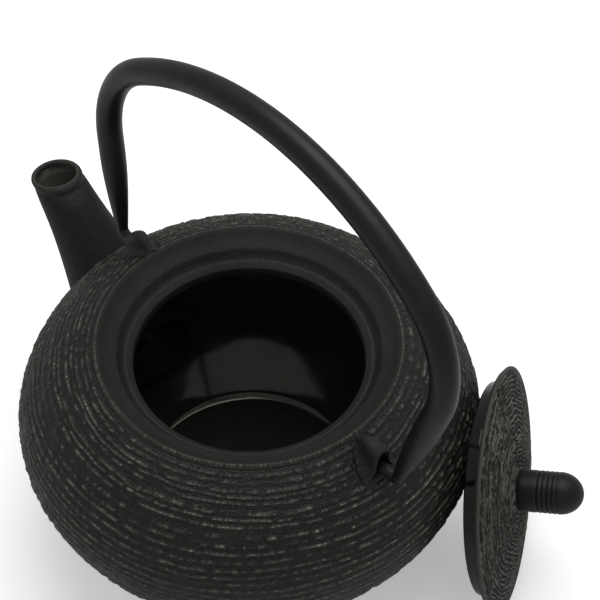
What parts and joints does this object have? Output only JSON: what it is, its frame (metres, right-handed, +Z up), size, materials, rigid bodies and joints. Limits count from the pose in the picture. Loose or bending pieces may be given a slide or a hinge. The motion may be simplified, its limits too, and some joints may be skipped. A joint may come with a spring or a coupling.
{
  "type": "cast iron teapot",
  "caption": "Round cast iron teapot with threaded relief, enamel lining, swinging steel bail and a loose lid leaning on its shoulder.",
  "frame": {"origin": "middle of the pot's foot, on the surface it stands on", "axes": "+Z up; -X towards the spout; the bail swings about X; the lid leans on the +X, +Y side"},
  "size_m": [0.2317, 0.1769, 0.1982],
  "materials": {
    "iron_cast": "matte",
    "enamel_inside": "gloss",
    "enamel_lid": "gloss",
    "bail_black": "satin",
    "knob_black": "matte",
    "screw_steel": "brushed"
  },
  "bodies": {
    "pot": {"pot_body": "iron_cast", "pot_spout": "iron_cast", "pot_enamel": "enamel_inside"},
    "bail": {"bail_tube": "bail_black", "bail_end_front": "bail_black", "bail_end_rear": "bail_black"},
    "lid": {"lid_casting": "iron_cast", "lid_enamel": "enamel_lid", "knob": "knob_black", "knob_screw": "screw_steel", "knob_washer": "screw_steel"}
  },
  "joints": [
    {"name": "bail_swing", "type": "hinge", "parent": "pot", "child": "bail", "pos_m": [0, 0, 0.09701], "axis": [1, 0, 0], "range_deg": [-92, 119]},
    {"name": "lid_draw", "type": "slide", "parent": "pot", "child": "lid", "axis": [0.8251, 0.565, 0], "range_m": [0, 0.1]}
  ]
}
